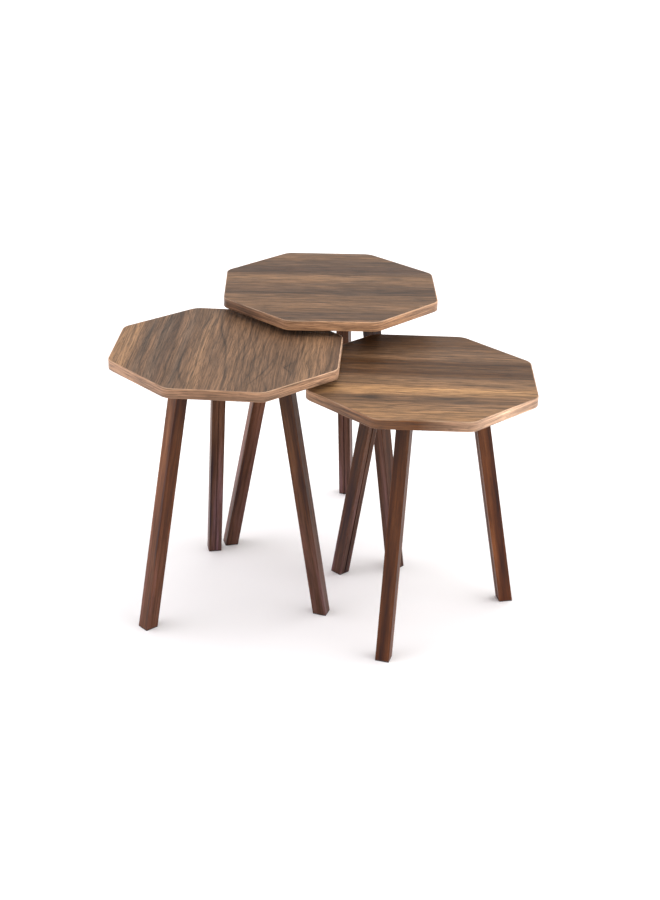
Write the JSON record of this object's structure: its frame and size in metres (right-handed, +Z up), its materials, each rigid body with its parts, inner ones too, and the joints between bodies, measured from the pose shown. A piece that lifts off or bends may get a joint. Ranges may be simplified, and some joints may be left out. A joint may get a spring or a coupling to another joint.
{
  "type": "nesting tables",
  "caption": "Set of nesting side tables: rounded octagonal walnut-grain tops at stepped heights, each on splayed square legs, the lower tops tucked under the higher ones.",
  "frame": {"origin": "on the floor under the middle of the whole set's footprint", "axes": "+Z up; +Y from the viewer towards the tall table at the back; +X to the right, towards the low table"},
  "size_m": [0.7461, 0.7024, 0.53],
  "materials": {
    "board": "satin walnut-grain laminate on board",
    "edge_band": "walnut-print edge band, satin",
    "leg": "dark walnut, satin",
    "bracket": "zinc-plated sheet steel",
    "screws": "zinc-plated",
    "foot_pad": "dark brown, matte"
  },
  "bodies": {
    "tall_table": {"tall_board": "board", "tall_edge_band": "edge_band", "tall_screws": "screws", "tall_leg_1": "leg", "tall_leg_2": "leg", "tall_leg_3": "leg", "tall_bracket_1": "bracket", "tall_bracket_2": "bracket", "tall_bracket_3": "bracket", "tall_foot_pad_1": "foot_pad", "tall_foot_pad_2": "foot_pad", "tall_foot_pad_3": "foot_pad"},
    "middle_table": {"middle_board": "board", "middle_edge_band": "edge_band", "middle_screws": "screws", "middle_leg_1": "leg", "middle_leg_2": "leg", "middle_leg_3": "leg", "middle_bracket_1": "bracket", "middle_bracket_2": "bracket", "middle_bracket_3": "bracket", "middle_foot_pad_1": "foot_pad", "middle_foot_pad_2": "foot_pad", "middle_foot_pad_3": "foot_pad"},
    "low_table": {"low_board": "board", "low_edge_band": "edge_band", "low_screws": "screws", "low_leg_1": "leg", "low_leg_2": "leg", "low_leg_3": "leg", "low_bracket_1": "bracket", "low_bracket_2": "bracket", "low_bracket_3": "bracket", "low_foot_pad_1": "foot_pad", "low_foot_pad_2": "foot_pad", "low_foot_pad_3": "foot_pad"}
  },
  "joints": [
    {"name": "middle_table_slide", "type": "slide", "parent": "tall_table", "child": "middle_table", "axis": [-0.5572, -0.8304, 0], "range_m": [-0.008, 0.25]},
    {"name": "low_table_slide", "type": "slide", "parent": "tall_table", "child": "low_table", "axis": [0.4851, -0.8744, 0], "range_m": [0, 0.25]}
  ]
}
